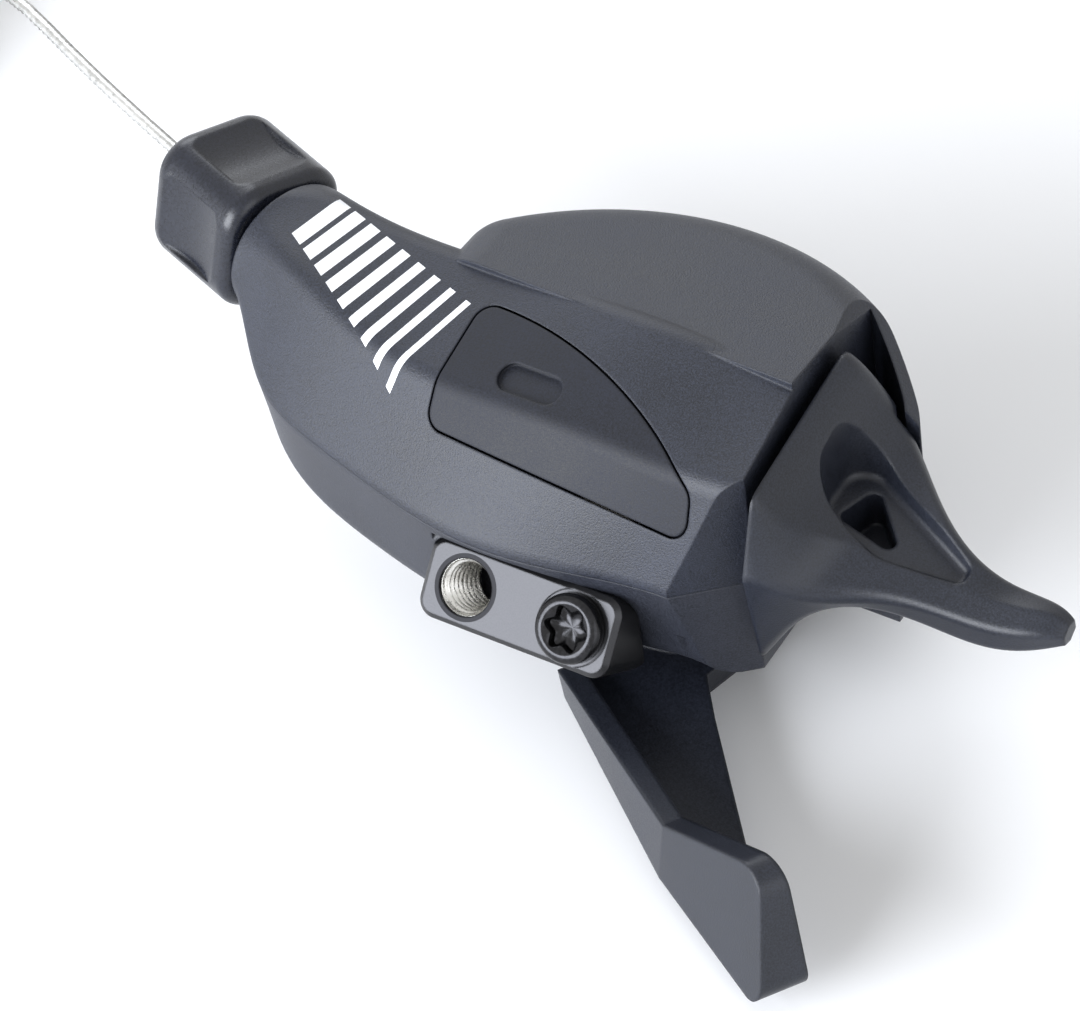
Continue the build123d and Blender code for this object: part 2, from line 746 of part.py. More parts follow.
end_plane = Plane(origin=(end_x, 0, 0), z_dir=(-1, 0, 0))
bulge_top = Plane(
    origin=(end_x, bulge_back_right_y, bulge_top_z),
    z_dir=(
        math.tan(math.radians(bulge_fall_inboard)),
        -math.tan(math.radians(bulge_fall_forward)),
        -1,
    ),
)


ear_top = Plane(
    origin=(end_x, ear_end_y, ear_fall_z),
    z_dir=(
        -math.sin(math.radians(ear_fall)) * math.cos(math.radians(ear_turn)),
        -math.sin(math.radians(ear_fall)) * math.sin(math.radians(ear_turn)),
        -math.cos(math.radians(ear_fall)),
    ),
)


def housing_form(inset):
    """The whole housing as one solid, with every wall moved inwards by inset."""
    with BuildPart() as bulge:
        extrude(bulge_outline(inset), amount=2 * bulge_top_z)
        split(bisect_by=bulge_top.offset(inset))
        split(bisect_by=Plane.XY.offset(base_bottom_z + inset))
        rim = bulge.faces().sort_by(Axis.Z)[-1].edges().sort_by_distance((0, 0, bulge_top_z))
        fillet(rim[1:], bulge_edge_r - inset)
        split(bisect_by=ear_top.offset(inset))
    with BuildPart() as form:
        loft([housing_section(s, corners, inset) for s, corners in stations])
        split(bisect_by=end_plane)
        split(bisect_by=Plane.XY.offset(base_bottom_z + inset))
        add(bulge.part)
    return form.part


outer = housing_form(0)
inner = housing_form(wall)

# Room for the release lever: outboard of the end plane, inside the ear that the front wall leaves standing
with BuildPart() as release_pocket:
    with BuildSketch(Plane.XY.offset(floor_z)):
        with Locations((end_x, ear_end_y)):
            Rectangle(bulge_right_x, 2 * bulge_front_y, align=(Align.MIN, Align.MAX))
        add(bulge_outline(ear_wall))
    extrude(amount=2 * bulge_top_z)
    split(bisect_by=Plane(origin=(end_x, 0, 0), z_dir=(1, 0, 0)))

# Under the release lever only the floor behind its pivot stays
with BuildPart() as underside_room:
    with BuildSketch(Plane.XY.offset(2 * base_bottom_z)):
        with Locations((end_x, ear_y - release_floor)):
            Rectangle(bulge_right_x, 2 * bulge_front_y, align=(Align.MIN, Align.MAX))
    extrude(amount=parting_z - 2 * base_bottom_z)

# The rear outer corner is cut off slantwise through both shells
corner_turn = math.radians(corner_angle)
corner_start = Vector(end_x - corner_cut, corner_y, 0)
corner_plane = Plane(origin=corner_start, z_dir=(-math.sin(corner_turn), math.cos(corner_turn), 0))

with BuildPart() as mechanism_room:
    with BuildSketch(Plane.XY.offset(floor_z)):
        with Locations((pivot_x, pivot_y)):
            Circle(spool_room_r)
    extrude(amount=spool_room_top_z - floor_z)
    with BuildSketch(Plane.XY.offset(floor_z)):
        with Locations((pivot_x, pivot_y)):
            sweep_angle = drive_tip_angle - drive_post_angle + drive_stroke
            SlotArc(
                CenterArc((0, 0), drive_post_r, drive_post_angle, sweep_angle),
                2 * (pawl_eye_r + 2 * run_gap),
            )
    extrude(amount=pawl_pin_top_z + run_gap - floor_z)

with BuildPart() as cavity:
    add(inner)
    split(bisect_by=cable_plane(cavity_nose_s))
    split(bisect_by=Plane(origin=(end_x - wall, 0, 0), z_dir=(-1, 0, 0)))
    split(bisect_by=corner_plane.offset(corner_wall))
    add(mechanism_room.part)

with BuildPart() as housing:
    add(outer)
    add(release_pocket.part, mode=Mode.SUBTRACT)
    split(bisect_by=corner_plane)

with BuildPart() as base_region:
    with BuildSketch(Plane.XY.offset(2 * base_bottom_z)):
        Rectangle(8 * neck_end_s, 8 * neck_end_s)
    extrude(amount=parting_z - 2 * base_bottom_z)
    split(bisect_by=cable_plane(base_nose_s))

# Room in front of the pad for the clamp's foot
with BuildPart() as clamp_room:
    with BuildSketch(pad_plane):
        with Locations((pad_centre_x, 0)):
            Rectangle(pad_length, pad_width)
    extrude(amount=bracket_reach)

# Bracket: the pad carried back to its seat on the base
with BuildPart() as bracket_blank:
    with BuildSketch(pad_plane):
        with Locations((pad_centre_x, 0)):
            RectangleRounded(pad_length, pad_width, pad_corner_r)
    extrude(amount=-bracket_reach)
    split(bisect_by=Plane(origin=(0, bracket_seat_y, 0), z_dir=(0, -1, 0)))
    split(bisect_by=Plane.XY.offset(base_bottom_z))

with BuildPart() as mount_bracket:
    add(bracket_blank.part)
    chamfer(mount_bracket.faces().sort_by(pad_axis)[-1].edges(), pad_edge)
    with Locations(pad_plane):
        Hole(clamp_thread_r)
    with Locations(bolt_plane):
        CounterBoreHole(bolt_r + pin_fit, bolt_head_r + run_gap, bolt_seat_depth)

bolt_seat = bolt_plane.offset(-bolt_seat_depth)
with BuildPart() as bracket_bolt:
    with BuildSketch(bolt_seat):
        Circle(bolt_head_r)
    extrude(amount=bolt_head_height)
    fillet(bracket_bolt.faces().sort_by(pad_axis)[-1].edges(), bolt_head_round)
    with BuildSketch(bolt_seat):
        Circle(bolt_r)
    extrude(amount=-bolt_length)
    with BuildSketch(bolt_seat.offset(bolt_head_height)):
        RegularPolygon(bolt_socket_r, 6)
    extrude(amount=-bolt_socket_depth, mode=Mode.SUBTRACT)

# Lower shell: floor, walls, bracket seat, screw bosses, and the slot that the drive post swings in
with BuildPart() as base_housing:
    add(housing.part)
    add(base_region.part, mode=Mode.INTERSECT)
    add(cavity.part, mode=Mode.SUBTRACT)
    add(underside_room.part, mode=Mode.SUBTRACT)
    with BuildSketch(Plane.XY.offset(base_bottom_z)):
        with Locations(Location(corner_start, (0, 0, corner_angle))):
            Rectangle(notch_width, 2 * notch_depth)
    extrude(amount=tab_low_z - base_bottom_z, mode=Mode.SUBTRACT)
    with BuildSketch(Plane.XY.offset(base_bottom_z)):
        with Locations((pad_centre_x, bracket_seat_y)):
            Rectangle(pad_length + 2 * wall, bracket_block, align=(Align.CENTER, Align.MIN))
    extrude(amount=parting_z - base_bottom_z)
    for spot in cover_screw_spots:
        add(rod(spot, cover_boss_r, base_bottom_z, parting_z))
    add(outer, mode=Mode.INTERSECT)
    add(bracket_blank.part, mode=Mode.SUBTRACT)
    add(clamp_room.part, mode=Mode.SUBTRACT)
    with Locations(bolt_seat):
        Hole(bolt_r, depth=bolt_length)
    with Locations(pad_plane):
        Hole(clamp_relief_r, depth=clamp_relief_depth)
    add(ring(pivot, axle_r, spool_hub_r, base_bottom_z, spool_base_z - run_gap))
    add(rod(pivot, axle_r, base_bottom_z, parting_z), mode=Mode.SUBTRACT)
    add(rod(hold_post, pawl_pin_r, base_bottom_z, parting_z), mode=Mode.SUBTRACT)
    add(rod(release_pivot, release_pin_r, base_bottom_z, parting_z), mode=Mode.SUBTRACT)
    for spot in cover_screw_spots:
        add(rod(spot, cover_screw_r, base_bottom_z, parting_z), mode=Mode.SUBTRACT)
        head_room = rod(spot, cover_screw_head_r, base_bottom_z, base_bottom_z + cover_screw_head)
        add(head_room, mode=Mode.SUBTRACT)
    with BuildSketch(Plane.XY.offset(base_bottom_z)):
        with Locations((pivot_x, pivot_y)):
            SlotArc(
                CenterArc((0, 0), drive_post_r, drive_post_angle, drive_stroke),
                2 * (pawl_pin_r + 2 * run_gap),
            )
    extrude(amount=floor, mode=Mode.SUBTRACT)
    with BuildSketch(Plane.XY.offset(pawl_z - run_gap)):
        with Locations((end_x, tang_window_y)):
            Rectangle(4 * wall, tang_window_width)
    extrude(amount=pawl_height + 2 * run_gap, mode=Mode.SUBTRACT)

# Upper shell: nose with the adjuster's bore, dome, port opening, axle boss and screw bosses
with BuildPart() as cover_bosses:
    add(rod(pivot, axle_boss_r, spool_room_top_z + run_gap, roof_limit_z))
    for spot in cover_screw_spots:
        add(rod(spot, cover_boss_r, parting_z, roof_limit_z))
    add(outer, mode=Mode.INTERSECT)

with BuildPart() as top_cover:
    add(housing.part)
    add(base_region.part, mode=Mode.SUBTRACT)
    add(cavity.part, mode=Mode.SUBTRACT)
    add(cover_bosses.part)
    extrude(leaf_outline(plug_gap), amount=roof_limit_z, mode=Mode.SUBTRACT)
    add(rod(pivot, axle_r, 0, axle_top_z), mode=Mode.SUBTRACT)
    for spot in cover_screw_spots:
        add(rod(spot, cover_screw_r, 0, cover_screw_top_z), mode=Mode.SUBTRACT)
    add(cable_rod(stem_bore_r, 0, stem_end_s), mode=Mode.SUBTRACT)
    add(cable_rod(stem_r, stem_start_s, stem_end_s), mode=Mode.SUBTRACT)

# Port plug: fills the wall's opening, with a thin lip that holds it from inside
plug_under = housing_form(wall + plug_lip_thickness)
with BuildPart() as plug_recess:
    with BuildSketch(plug_plane):
        with Locations(plug_recess_at):
            SlotOverall(plug_recess_length, plug_recess_width)
    extrude(amount=roof_limit_z)
    add(outer.moved(Location(plug_plane.z_dir * -plug_recess_depth)), mode=Mode.SUBTRACT)
with BuildPart() as cable_port_plug:
    extrude(leaf_outline(0), amount=roof_limit_z)
    add(outer, mode=Mode.INTERSECT)
    add(inner, mode=Mode.SUBTRACT)
    add(mechanism_room.part, mode=Mode.SUBTRACT)
    add(plug_recess.part, mode=Mode.SUBTRACT)
with BuildPart() as plug_flange:
    extrude(leaf_outline(plug_lip), amount=roof_limit_z)
    add(cavity.part, mode=Mode.INTERSECT)
    add(plug_under, mode=Mode.SUBTRACT)
    add(mechanism_room.part, mode=Mode.SUBTRACT)
    for spot, radius in [(pivot, axle_boss_r)] + [(spot, cover_boss_r) for spot in cover_screw_spots]:
        add(rod(spot, radius + run_gap, 0, roof_limit_z), mode=Mode.SUBTRACT)

pieces = {
    "base_housing": base_housing.part,
    "top_cover": top_cover.part,
    "cable_port_plug": cable_port_plug.part + plug_flange.part,
    "mount_bracket": mount_bracket.part,
    "bracket_bolt": bracket_bolt.part,
    "main_axle": main_axle.part,
    "axle_washer": axle_washer,
    "thrust_washer": thrust_washer,
    "cable_spool": cable_spool.part,
    "ratchet_wheel": ratchet_wheel.part,
    "cable_end": cable_end.part,
    "spool_return_spring": spool_return_spring,
    "drive_pawl": drive_pawl,
    "drive_pawl_pin": drive_pawl_pin,
    "drive_pawl_spring": drive_pawl_spring,
    "hold_pawl": hold_pawl.part,
    "hold_pawl_pin": hold_pawl_pin,
    "hold_pawl_spring": hold_pawl_spring,
    "pull_lever": pull_lever.part,
    "pull_return_spring": pull_return_spring,
    "release_lever": release_lever.part,
    "release_pin": release_pin,
    "release_spring": release_spring,
    "barrel_adjuster": barrel_adjuster.part,
    "adjuster_stem": adjuster_stem.part,
    "adjuster_detent_spring": adjuster_detent_spring.part,
    "gear_cable_run": gear_cable_run,
    "gear_cable_free": gear_cable_free.part,
    "gear_cable_coil": gear_cable_coil.part,
    "coil_tie": coil_tie.part,
}
for number, spot in enumerate(cover_screw_spots, 1):
    with BuildPart() as cover_screw:
        add(rod(spot, cover_screw_r, base_bottom_z, cover_screw_top_z))
        add(rod(spot, cover_screw_head_r, base_bottom_z, base_bottom_z + cover_screw_head))
    pieces[f"cover_screw_{number}"] = cover_screw.part

for name, solid in pieces.items():
    print(name, round(solid.volume, 1), solid.is_valid, len(solid.solids()))
    solid.label = name
    export_step(solid, f"parts/{name}.step")
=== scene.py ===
import json
import bpy
import numpy as np
from mathutils import Matrix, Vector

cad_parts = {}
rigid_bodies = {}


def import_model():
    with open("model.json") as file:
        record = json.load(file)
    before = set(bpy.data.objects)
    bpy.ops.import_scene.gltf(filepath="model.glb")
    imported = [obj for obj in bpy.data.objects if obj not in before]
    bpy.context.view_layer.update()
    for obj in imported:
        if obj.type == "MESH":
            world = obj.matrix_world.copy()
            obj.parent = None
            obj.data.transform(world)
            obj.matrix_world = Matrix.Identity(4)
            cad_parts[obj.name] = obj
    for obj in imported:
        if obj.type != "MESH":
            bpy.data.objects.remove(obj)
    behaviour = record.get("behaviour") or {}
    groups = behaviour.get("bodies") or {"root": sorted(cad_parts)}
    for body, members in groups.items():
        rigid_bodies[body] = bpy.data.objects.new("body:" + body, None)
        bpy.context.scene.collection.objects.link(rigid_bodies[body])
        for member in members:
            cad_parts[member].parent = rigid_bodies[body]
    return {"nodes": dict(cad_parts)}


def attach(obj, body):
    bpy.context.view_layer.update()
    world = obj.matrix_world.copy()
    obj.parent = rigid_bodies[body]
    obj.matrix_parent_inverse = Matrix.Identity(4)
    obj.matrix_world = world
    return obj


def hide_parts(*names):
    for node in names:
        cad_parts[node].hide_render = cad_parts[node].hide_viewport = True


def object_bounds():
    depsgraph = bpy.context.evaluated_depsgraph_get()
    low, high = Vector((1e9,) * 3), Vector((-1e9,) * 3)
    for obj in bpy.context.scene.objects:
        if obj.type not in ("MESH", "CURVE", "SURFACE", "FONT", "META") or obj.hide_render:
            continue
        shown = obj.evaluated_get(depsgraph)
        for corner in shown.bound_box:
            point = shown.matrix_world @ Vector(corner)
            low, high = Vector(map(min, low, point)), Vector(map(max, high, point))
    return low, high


for spare in list(bpy.data.objects):
    bpy.data.objects.remove(spare)
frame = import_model()
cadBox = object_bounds()
nodes = frame["nodes"]
scene = bpy.context.scene
scene.view_settings.view_transform = 'Standard'
mm = 0.001
print("frame loaded:", len(nodes), "nodes")


# camera

camSet = {
    "place": (244.262, -320.346, 444.747),     # mm, at the photo's viewing angle
    "right": (0.858, 0.504, -0.094),
    "up": (-0.319, 0.668, 0.672),
    "lens": 236.0, "sensor": 36.0,
    "clip": (0.01, 20.0),                      # m
}


def photoCamera(s):
    # columns of the matrix are the picture's right, its up and the way back to the eye
    right = np.array(s["right"]) / np.linalg.norm(s["right"])
    back = np.cross(right, s["up"])
    back /= np.linalg.norm(back)
    up = np.cross(back, right)
    turn = np.eye(4)
    turn[:3, :4] = np.column_stack([right, up, back, np.array(s["place"]) * mm])
    data = bpy.data.cameras.new("photoCamera")
    data.sensor_fit = 'HORIZONTAL'
    data.sensor_width = s["sensor"]
    data.lens = s["lens"]
    data.clip_start, data.clip_end = s["clip"]
    eye = bpy.data.objects.new("photoCamera", data)
    scene.collection.objects.link(eye)
    eye.matrix_world = Matrix(turn.tolist())
    scene.camera = eye


photoCamera(camSet)
print("camera set")


# mesh helpers

def meshPiece(name, verts, faces, smooth=True):
    # an array of points in metres and a list of faces become one object at the origin
    data = bpy.data.meshes.new(name)
    data.from_pydata(verts.tolist(), [], faces)
    data.polygons.foreach_set("use_smooth", np.full(len(data.polygons), smooth))
    data.update()
    piece = bpy.data.objects.new(name, data)
    scene.collection.objects.link(piece)
    return piece


def gridFaces(rows, cols, ring=False):
    # a grid that closes on itself sideways: each face joins a point, the one in the next row and their
    # neighbours; a ring also joins its last row to its first, and otherwise one face closes each end
    r, c = np.meshgrid(np.arange(rows if ring else rows - 1), np.arange(cols), indexing="ij")
    after, beside = (r + 1) % rows, (c + 1) % cols
    quads = np.stack([r * cols + c, after * cols + c, after * cols + beside, r * cols + beside], axis=-1)
    faces = quads.reshape(-1, 4).tolist()
    if not ring:
        first = np.arange(cols)
        faces += [first.tolist(), (first[::-1] + (rows - 1) * cols).tolist()]
    return faces


def turnedSurface(radius, height, origin, xDir, yDir, zDir, ring=False):
    # radius[row, col] and height[row, col] about an axis: a point is origin + r cos a x + r sin a y + h z
    rows, cols = radius.shape
    a = np.arange(cols) * 2 * np.pi / cols
    aside = (radius * np.cos(a))[..., None] * np.array(xDir)
    upward = (radius * np.sin(a))[..., None] * np.array(yDir)
    spot = (aside + upward + height[..., None] * np.array(zDir) + np.array(origin)) * mm
    return spot.reshape(-1, 3), gridFaces(rows, cols, ring)


# material helpers

def newMaterial(name):
    mat = bpy.data.materials.new(name)
    mat.use_nodes = True
    return mat, mat.node_tree, mat.node_tree.nodes["Principled BSDF"]


def noiseOf(tree, coord, size, detail):
    # soft noise with marks about as large as a size in mm
    n = tree.nodes.new("ShaderNodeTexNoise")
    n.inputs["Scale"].default_value = 1.0 / (size * mm)
    n.inputs["Detail"].default_value = detail
    tree.links.new(coord, n.inputs["Vector"])
    return n.outputs["Fac"]


def spread(tree, value, low, high, fromLow=0.3, fromHigh=0.7):
    # a grey value between two bounds carried to two others
    n = tree.nodes.new("ShaderNodeMapRange")
    for key, v in (("From Min", fromLow), ("From Max", fromHigh), ("To Min", low), ("To Max", high)):
        n.inputs[key].default_value = v
    tree.links.new(value, n.inputs["Value"])
    return n.outputs["Result"]


def mathOf(tree, how, a, b=None):
    # one sum on values that are numbers or sockets
    n = tree.nodes.new("ShaderNodeMath")
    n.operation = how
    for k, v in enumerate((a, b)):
        if v is None:
            continue
        if isinstance(v, (int, float)):
            n.inputs[k].default_value = v
        else:
            tree.links.new(v, n.inputs[k])
    return n.outputs[0]


def blendColour(tree, fac, a, b):
    # from colour a to colour b; the node's colour sockets have numbers, because other types share their names
    n = tree.nodes.new("ShaderNodeMix")
    n.data_type = 'RGBA'
    for key, v in ((6, a), (7, b)):
        if isinstance(v, tuple):
            n.inputs[key].default_value = (*v, 1.0)
        else:
            tree.links.new(v, n.inputs[key])
    tree.links.new(fac, n.inputs[0])
    return n.outputs[2]


grainSet = {"fineShare": 0.75, "cloudShare": 0.25, "fineDetail": 2.0, "cloudDetail": 3.0,
            "colourBand": (0.36, 0.64), "edgeSamples": 6}


def grainedFinish(name, s):
    # speckled colour, uneven gloss and a fine raised grain, with sharp edges slightly rounded to the light
    g = grainSet
    mat, tree, shader = newMaterial(name)
    place = tree.nodes.new("ShaderNodeTexCoord").outputs["Object"]
    grain = noiseOf(tree, place, s["grain"], g["fineDetail"])
    cloud = noiseOf(tree, place, s["cloud"], g["cloudDetail"])
    mixed = mathOf(tree, 'ADD', mathOf(tree, 'MULTIPLY', grain, g["fineShare"]),
                 mathOf(tree, 'MULTIPLY', cloud, g["cloudShare"]))
    dark = tuple(v * (1.0 - s["speckle"]) for v in s["colour"])
    light = tuple(v * (1.0 + s["speckle"]) for v in s["colour"])
    colour = blendColour(tree, spread(tree, mixed, 0.0, 1.0, *g["colourBand"]), dark, light)
    tree.links.new(spread(tree, mixed, *s["rough"]), shader.inputs["Roughness"])
    shader.inputs["Metallic"].default_value = s.get("metal", 0.0)
    shader.inputs["Specular IOR Level"].default_value = s.get("specular", 0.5)
    edge = tree.nodes.new("ShaderNodeBevel")
    edge.samples = g["edgeSamples"]
    edge.inputs["Radius"].default_value = s["edge"] * mm
    bump = tree.nodes.new("ShaderNodeBump")
    bump.inputs["Strength"].default_value = s["bump"]
    bump.inputs["Distance"].default_value = s["height"] * mm
    tree.links.new(grain, bump.inputs["Height"])
    tree.links.new(edge.outputs["Normal"], bump.inputs["Normal"])
    tree.links.new(bump.outputs["Normal"], shader.inputs["Normal"])
    tree.links.new(colour, shader.inputs["Base Color"])
    return mat, tree, place, colour, shader


def dress(node, mat):
    o = nodes[node]
    o.data.materials.clear()
    o.data.materials.append(mat)


# loose cable, laid first

cableSet = {
    "route": [                                  # mm: out of the knob, a slight bend, down, along the bench
        (-41.687, 26.221, 8.0), (-54.784, 31.170, 8.0), (-74.607, 40.710, 8.0),
        (-86.311, 46.343, -10.55), (-94.421, 50.246, -10.55),
    ],
    "ringCentre": (-99.105, 40.514, -10.55),
    "inward": (-0.43366, -0.90108, 0.0),        # from the end of the route to the ring's centre
    "onward": (-0.90108, 0.43366, 0.0),
    "ringR": 10.8, "turns": 29, "perTurn": 14,
    "pitch": 1.25, "netReach": 3, "netRise": 0.8660254, "slideFrom": 0.8,
    "wireR": 0.6, "length": 2.03, "strands": 9, "groove": 0.84, "lay": 7.0,
    "lineSteps": 6, "fineTo": 50.0, "fineStep": 0.3, "coilRows": 2300,    # finer rows near the knob
}


def ringRoute(s):
    # turns lie in rings of six round the first one: a turn's offset from the ring's middle is a point of a
    # hexagonal net, and each turn slides to the next point of the net over its last fifth
    k = np.arange(-s["netReach"], s["netReach"] + 1)
    a, b = np.meshgrid(k, k)
    net = np.stack([a + 0.5 * b, s["netRise"] * b], axis=-1).reshape(-1, 2)
    far = np.round(np.hypot(*net.T), 3)
    turnTo = np.round(np.arctan2(net[:, 1], net[:, 0]) % (2 * np.pi), 4)
    net = net[np.lexsort((turnTo, far))][: s["turns"] + 1] * s["pitch"]
    n = s["turns"] * s["perTurn"]
    step = np.arange(1, n + 1) / s["perTurn"]
    whole = np.minimum(step.astype(int), s["turns"] - 1)
    slide = np.clip((step - whole - s["slideFrom"]) / (1 - s["slideFrom"]), 0, 1)
    slide = slide * slide * (3 - 2 * slide)
    off = net[whole] * (1 - slide)[:, None] + net[whole + 1] * slide[:, None]
    angle = 2 * np.pi * step
    outside = 1.0 / (0.75 + 0.25 * np.cos(2 * np.pi / s["perTurn"]))   # the curve runs inside its points
    r = (s["ringR"] + off[:, 0]) * outside
    back, on = -np.array(s["inward"]), np.array(s["onward"])
    spot = np.array(s["ringCentre"]) + (r * np.cos(angle))[:, None] * back + (r * np.sin(angle))[:, None] * on
    spot[:, 2] += off[:, 1]
    return spot


def cableLine(s):
    # one open spline with the route's and the ring's points as its control points, read back as a smooth line
    points = np.vstack([s["route"], ringRoute(s)]) * mm
    data = bpy.data.curves.new("cableLine", 'CURVE')
    data.dimensions = '3D'
    data.resolution_u = s["lineSteps"]
    line = data.splines.new('NURBS')
    line.points.add(len(points) - 1)
    line.points.foreach_set("co", np.column_stack([points, np.ones(len(points))]).ravel())
    line.order_u = 3
    line.use_endpoint_u = True
    guide = bpy.data.objects.new("cableLine", data)
    scene.collection.objects.link(guide)
    bpy.context.view_layer.update()
    flat = bpy.data.meshes.new_from_object(guide.evaluated_get(bpy.context.evaluated_depsgraph_get()))
    path = np.empty(len(flat.vertices) * 3)
    flat.vertices.foreach_get("co", path)
    bpy.data.objects.remove(guide)
    bpy.data.curves.remove(data)
    bpy.data.meshes.remove(flat)
    return path.reshape(-1, 3)


def strandedTube(name, path, s):
    # rings of points across the line: the radius waves once for each strand, and the wave turns once a lay
    run = np.concatenate([[0.0], np.cumsum(np.linalg.norm(np.diff(path, axis=0), axis=1))])
    near = np.arange(0.0, s["fineTo"], s["fineStep"]) * mm
    far = np.linspace(s["fineTo"] * mm, run[-1], s["coilRows"])
    at = np.concatenate([near, far])
    spot = np.column_stack([np.interp(at, run, path[:, k]) for k in range(3)])
    ahead = np.gradient(spot, axis=0)
    ahead /= np.linalg.norm(ahead, axis=1)[:, None]
    side = np.cross(ahead, (0.0, 0.0, 1.0))
    side /= np.linalg.norm(side, axis=1)[:, None]
    over = np.cross(side, ahead)
    cols = 2 * s["strands"]
    a = np.arange(cols) * 2 * np.pi / cols + (2 * np.pi * at / (s["lay"] * mm))[:, None]
    r = s["wireR"] * mm * np.where(np.arange(cols) % 2, s["groove"], 1.0)
    aside = (r * np.cos(a))[..., None] * side[:, None]
    upward = (r * np.sin(a))[..., None] * over[:, None]
    return meshPiece(name, (spot[:, None] + aside + upward).reshape(-1, 3), gridFaces(len(at), cols))


wireFinish = {"colour": (0.60, 0.60, 0.585), "speckle": 0.12, "grain": 0.5, "cloud": 4.0,
              "rough": (0.24, 0.38), "height": 0.01, "bump": 0.2, "metal": 1.0, "edge": 0.05}
cablePath = cableLine(cableSet)
gearCable = strandedTube("gearCable", cablePath, cableSet)
gearCable.data.materials.append(grainedFinish("strandedSteel", wireFinish)[0])
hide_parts("gear_cable_free", "gear_cable_coil")
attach(gearCable, "housing")
print("cable laid:", round(float(np.linalg.norm(np.diff(cablePath, axis=0), axis=1).sum()), 4), "m")


# upper shell: charcoal with a sparkling grain, and plain white bars printed across the nose

coverSet = {
    "colour": (0.0145, 0.0170, 0.0260), "speckle": 0.55, "grain": 0.15, "cloud": 9.0,
    "rough": (0.40, 0.56), "specular": 0.42, "height": 0.06, "bump": 0.75, "edge": 0.3,
    "foot": (8.265, 7.346, 8.0),                # mm, on the cable's axis, with three directions from there
    "along": (-0.935444, 0.353475, 0.0), "across": (0.353475, 0.935444, 0.0), "upright": (0.0, 0.0, 1.0),
    "barsFrom": 18.5, "barsTo": 37.4, "barPitch": 2.1, "inkShare": (0.30, 0.78), "ink": (0.82, 0.83, 0.84),
    "edgeLow": -6.0, "edgeHigh": 3.4, "slant": 0.22,
}


def barMask(tree, place, s):
    # distance along the nose falls into equal steps, inked over a share of each that grows towards the neck;
    # the bars end on two lines, one of them slanted, and stay above the cable's axis
    def measure(axis):
        n = tree.nodes.new("ShaderNodeVectorMath")
        n.operation = 'DOT_PRODUCT'
        tree.links.new(place, n.inputs[0])
        n.inputs[1].default_value = axis
        here = mathOf(tree, 'DIVIDE', n.outputs["Value"], mm)
        return mathOf(tree, 'SUBTRACT', here, float(np.dot(s["foot"], axis)))

    length, width = measure(s["along"]), measure(s["across"])
    past = mathOf(tree, 'SUBTRACT', length, s["barsFrom"])
    step = mathOf(tree, 'FRACT', mathOf(tree, 'DIVIDE', past, s["barPitch"]))
    ink = mathOf(tree, 'LESS_THAN', step, spread(tree, length, *s["inkShare"], s["barsFrom"], s["barsTo"]))
    inside = mathOf(tree, 'MULTIPLY', mathOf(tree, 'GREATER_THAN', length, s["barsFrom"]),
                  mathOf(tree, 'LESS_THAN', length, s["barsTo"]))
    lean = mathOf(tree, 'SUBTRACT', width, mathOf(tree, 'MULTIPLY', past, s["slant"]))
    wide = mathOf(tree, 'MULTIPLY', mathOf(tree, 'GREATER_THAN', lean, s["edgeLow"]),
                mathOf(tree, 'LESS_THAN', width, s["edgeHigh"]))
    upper = mathOf(tree, 'GREATER_THAN', measure(s["upright"]), 0.0)
    drawn = mathOf(tree, 'MULTIPLY', ink, inside)
    return mathOf(tree, 'MULTIPLY', drawn, mathOf(tree, 'MULTIPLY', wide, upper))


coverMat, tree, place, colour, shader = grainedFinish("grainedCover", coverSet)
bars = barMask(tree, place, coverSet)
tree.links.new(blendColour(tree, bars, colour, coverSet["ink"]), shader.inputs["Base Color"])
dress("top_cover", coverMat)
print("cover finished")


# lower shell, plug, levers and knob

baseSet = {"colour": (0.0185, 0.0205, 0.0285), "speckle": 0.40, "grain": 0.16, "cloud": 7.0,
           "rough": (0.38, 0.52), "specular": 0.44, "height": 0.05, "bump": 0.6, "edge": 0.35}
plugSet = {"colour": (0.0085, 0.0098, 0.0155), "speckle": 0.45, "grain": 0.18, "cloud": 5.0,
           "rough": (0.52, 0.68), "specular": 0.34, "height": 0.04, "bump": 0.45, "edge": 0.35}
leverSet = {"colour": (0.0125, 0.0145, 0.0215), "speckle": 0.40, "grain": 0.16, "cloud": 8.0,
            "rough": (0.30, 0.44), "specular": 0.42, "height": 0.035, "bump": 0.5, "edge": 0.5}
knobSet = {"colour": (0.0085, 0.0100, 0.0165), "speckle": 0.30, "grain": 0.25, "cloud": 6.0,
           "rough": (0.24, 0.34), "specular": 0.46, "height": 0.025, "bump": 0.4, "edge": 0.5}
dress("base_housing", grainedFinish("smoothBase", baseSet)[0])
dress("cable_port_plug", grainedFinish("softPlug", plugSet)[0])
leverMat = grainedFinish("satinLever", leverSet)[0]
dress("pull_lever", leverMat)
dress("release_lever", leverMat)
dress("barrel_adjuster", grainedFinish("satinKnob", knobSet)[0])
print("plastics finished")


# bracket: black anodised, with painted shade as a darker ring round the tapped hole

padAxis = (0.0, -0.7660444, 0.6427876)          # out of the pad, up along it and along its length
padUp = (0.0, 0.6427876, 0.7660444)
padAlong = (1.0, 0.0, 0.0)
bracketSet = {"colour": (0.041, 0.041, 0.0435), "speckle": 0.10, "grain": 0.12, "cloud": 6.0,
              "rough": (0.30, 0.38), "height": 0.006, "bump": 0.3, "metal": 0.85, "edge": 0.2,
              "ringR": 2.95, "rimShadeColour": (0.006, 0.006, 0.007)}


